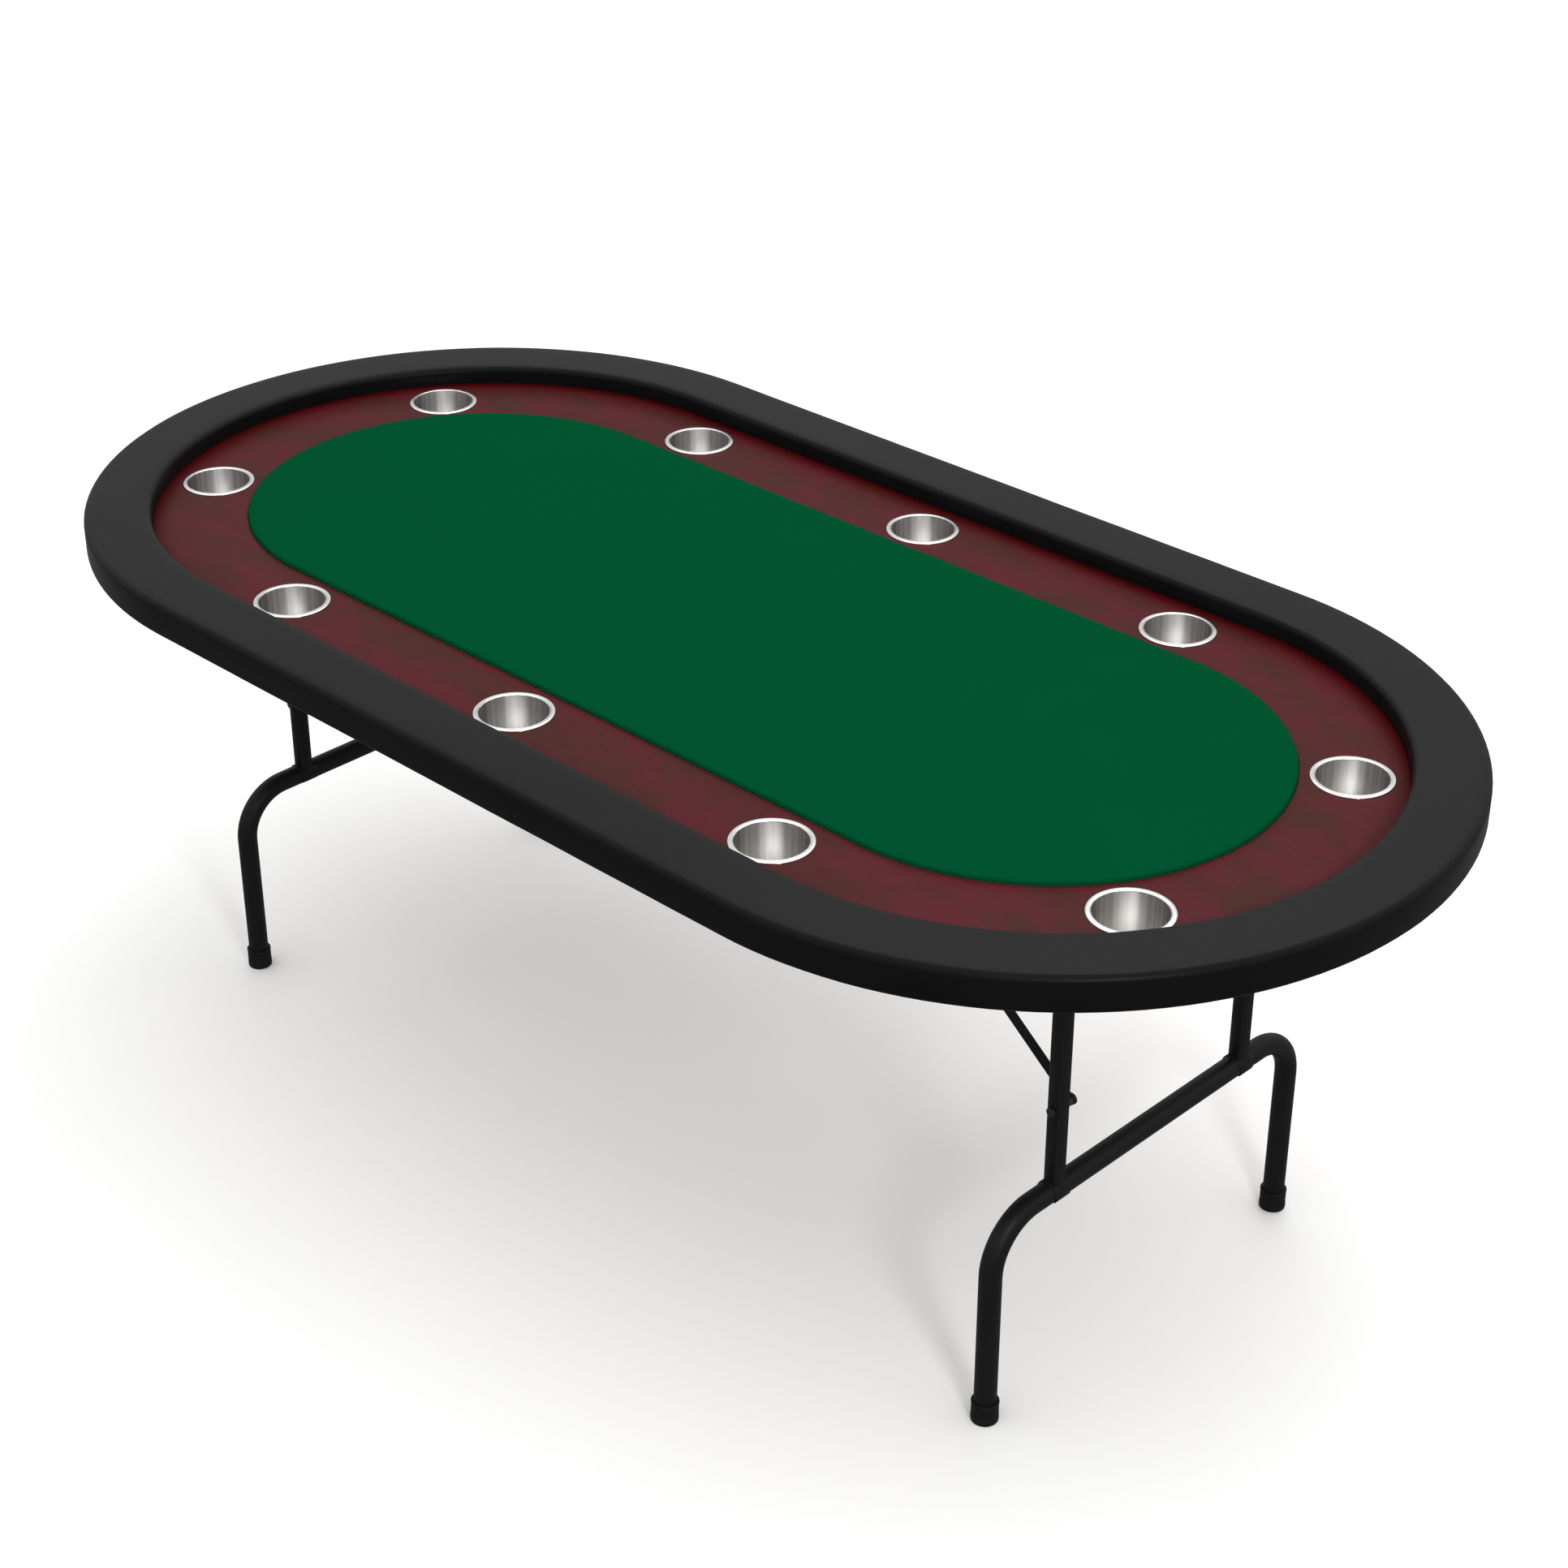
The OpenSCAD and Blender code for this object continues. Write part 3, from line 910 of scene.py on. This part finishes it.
def makeWeld(name, place, radius, body, cutBelow=None):
    # A bead round a tube that lies along Y
    clearSelection()
    bpy.ops.mesh.primitive_torus_add(
        major_segments=72, minor_segments=10, major_radius=radius,
        minor_radius=weldLook["bead"], location=place, rotation=(pi / 2, 0, 0)
    )
    bead = bpy.context.object
    bead.name = bead.data.name = name
    placeFixed()
    if cutBelow is not None:
        editAll()
        bpy.ops.mesh.bisect(
            plane_co=(*place[:2], cutBelow), plane_no=(0, 0, -1), clear_outer=True, use_fill=True
        )
        bpy.ops.object.mode_set(mode="OBJECT")
    addRipple(bead, "weldRipple", weldLook["rippleSize"], weldLook["ripple"])
    finishPiece(bead, coat, body, angle=60)


def makeWelds(side):
    low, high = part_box(f"leg_bow_{side}")
    x, crossZ = (low.x + high.x) / 2, high.z - frameLook["tube"]
    pivotLow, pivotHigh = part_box(f"pivot_tube_{side}")
    pivotZ = (pivotLow.z + pivotHigh.z) / 2
    body = f"leg_frame_{side}"
    for end in ends:
        uprightLow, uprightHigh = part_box(f"upright_{side}_{end}")
        cut = uprightLow.z + weldLook["bite"]
        for edge, y in (("A", uprightLow.y), ("B", uprightHigh.y)):
            stem = f"{side}{end.title()}{edge}"
            makeWeld(f"footWeld{stem}", (x, y, crossZ), frameLook["tube"], body, cut)
            makeWeld(f"topWeld{stem}", (x, y, pivotZ), pivotHigh.z - pivotZ, body)


capLook = {
    "radius": 17.5 * mm,
    "height": 30 * mm,
    "bore": 14.35 * mm,
    "floor": 6 * mm,
    "rib": 0.35 * mm,
    "grooves": (9, 12, 15),  # mm above the floor
    "steps": 48,
}


def capSection():
    look = capLook
    radius, height, rib, bore = look["radius"], look["height"], look["rib"], look["bore"]
    points = [(0, 0), (radius - 3 * mm, 0)]
    points += arcPoints(radius - 2.2 * mm, 2 * mm, 2 * mm, -70, 0, 5)
    points += [(radius - rib, 3 * mm), (radius, 4 * mm), (radius, 8 * mm)]
    for groove in look["grooves"]:
        z = groove * mm
        points += [(radius - 2 * rib, z), (radius - 2 * rib, z + 0.8 * mm)]
        points += [(radius - rib, z + 1.4 * mm), (radius - rib, z + 2.4 * mm)]
    points += [(radius - rib, height - 3 * mm), (radius, height - 2.6 * mm)]
    points += arcPoints(radius - 1 * mm, height - 1 * mm, 1 * mm, 0, 90, 4)
    points += [(bore + 0.5 * mm, height), (bore, height - 0.6 * mm)]
    points += [(bore, look["floor"]), (0, look["floor"])]
    return points


def makeFootCaps(side):
    low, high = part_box(f"foot_caps_{side}")
    x, y = (low.x + high.x) / 2, high.y - capLook["radius"]
    cap = lathe("cap", x, y, capSection(), capLook["steps"])
    back = copyPiece(cap, f"footCap{side.title()}Back")
    front = copyPiece(cap, f"footCap{side.title()}Front", (0, -2 * y, 0))
    bpy.data.objects.remove(cap)
    body = f"leg_frame_{side}"
    finishPiece(back, capPlastic, body, [f"foot_caps_{side}"])
    finishPiece(front, capPlastic, body)


for side in sides:
    makeBow(side)
    makeWelds(side)
    makeFootCaps(side)
print("leg frames welded")


# Tubes, brackets, links and fixings that keep their shape
refineLook = {"merge": 0.02 * mm, "flat": 1.0, "sharp": 50, "segments": 2}


def refineNode(name, material, body, edge):
    # A merged copy of the node, with its sharp edges broken
    look = refineLook
    clearSelection()
    source = frame["nodes"][name]
    piece = source.copy()
    piece.data = source.data.copy()
    for key in [k for k in piece.keys() if k.startswith("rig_")]:
        del piece[key]
    piece.parent = None
    bpy.context.scene.collection.objects.link(piece)
    words = name.split("_")
    piece.name = piece.data.name = words[0] + "".join(word.title() for word in words[1:])
    takeHold(piece)
    editAll()
    bpy.ops.mesh.remove_doubles(threshold=look["merge"])
    bpy.ops.mesh.dissolve_limited(angle_limit=radians(look["flat"]))
    bpy.ops.object.mode_set(mode="OBJECT")
    addModifier(
        piece, "BEVEL", width=edge, segments=look["segments"], limit_method="ANGLE",
        angle_limit=radians(look["sharp"]), use_clamp_overlap=True
    )
    finishPiece(piece, material, body, [name])


bodies = frame["record"]["behaviour"]["bodies"]
bodyOf = {node: body for body, nodes in bodies.items() for node in nodes}
# Node, material, slot and how far its edges are broken, in mm
refined = [("rail_screws", zinc, "zinc", 0.4), ("playfield_screws", zinc, "zinc", 0.4)]
refined += [("leg_bracket_screws", zinc, "zinc", 0.4)]
refined += [("brace_bracket_screws", zinc, "zinc", 0.4)]
refined += [("brace_pins", oxide, "bolt_steel", 0.5)]
for side in sides:
    refined += [(f"pivot_tube_{side}", coat, "frame_steel", 0.3)]
    refined += [(f"brace_bolts_{side}", oxide, "bolt_steel", 0.8)]
    for end in ends:
        corner = f"{side}_{end}"
        refined += [(f"upright_{corner}", coat, "frame_steel", 0.35)]
        refined += [(f"leg_bracket_{corner}", coat, "frame_steel", 0.4)]
        refined += [(f"brace_bracket_{corner}", coat, "frame_steel", 0.4)]
        refined += [(f"upper_link_{corner}", coat, "frame_steel", 0.4)]
        refined += [(f"lower_link_{corner}", coat, "frame_steel", 0.4)]
        refined += [(f"link_rivets_{corner}", oxide, "bolt_steel", 0.5)]
for name, material, slot, edge in refined:
    refineNode(name, material, bodyOf[name], edge * mm)
print("fixings finished")


def paintNode(name, material):
    node = frame["nodes"][name]
    node.data.materials.clear()
    node.data.materials.append(material)


for name in ("deck_board", "playfield_board", "rail_core"):
    paintNode(name, plywood)
for name in ("playfield_foam", "rail_foam"):
    paintNode(name, foam)
print("hidden boards and foam painted")


# Floor
def layFloor():
    clearSelection()
    bpy.ops.mesh.primitive_plane_add(
        size=floorLook["size"], location=(0, 0, -floorLook["drop"])
    )
    floor = bpy.context.object
    floor.name = "floor"
    # The sky's lower half lights the pieces from below in its place
    floor.visible_diffuse = floor.visible_glossy = False
    floor.data.materials.append(paintFloor())


layFloor()
